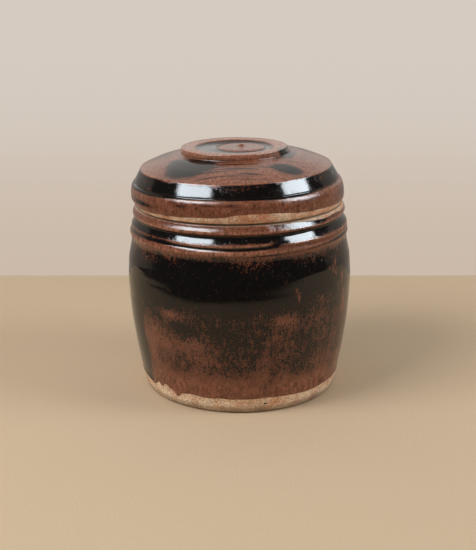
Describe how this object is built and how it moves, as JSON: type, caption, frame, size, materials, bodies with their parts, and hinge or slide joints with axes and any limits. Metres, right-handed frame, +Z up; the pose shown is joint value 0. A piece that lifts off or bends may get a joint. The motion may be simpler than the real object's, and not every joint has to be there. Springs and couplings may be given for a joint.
{
  "type": "lidded stoneware jar",
  "caption": "Hollow wheel-thrown stoneware jar with tool lines under its rim, a dark glossy glaze breaking to brown, a bare clay foot and a loose flanged lid with a low disc knob.",
  "frame": {"origin": "centre of the jar's foot, on the surface it stands on", "axes": "+Z up along the axis the jar was turned on, towards the knob; -Y towards the side that is shown"},
  "size_m": [0.1082, 0.1082, 0.119],
  "materials": {
    "jar_glaze": "glossy near-black glaze breaking to rust brown, bare tan clay at the foot",
    "lid_glaze": "rust-brown glaze with glossy black where thick, bare tan clay at the lower edge"
  },
  "bodies": {
    "root": {"jar": "jar_glaze", "lid": "lid_glaze"}
  },
  "joints": []
}
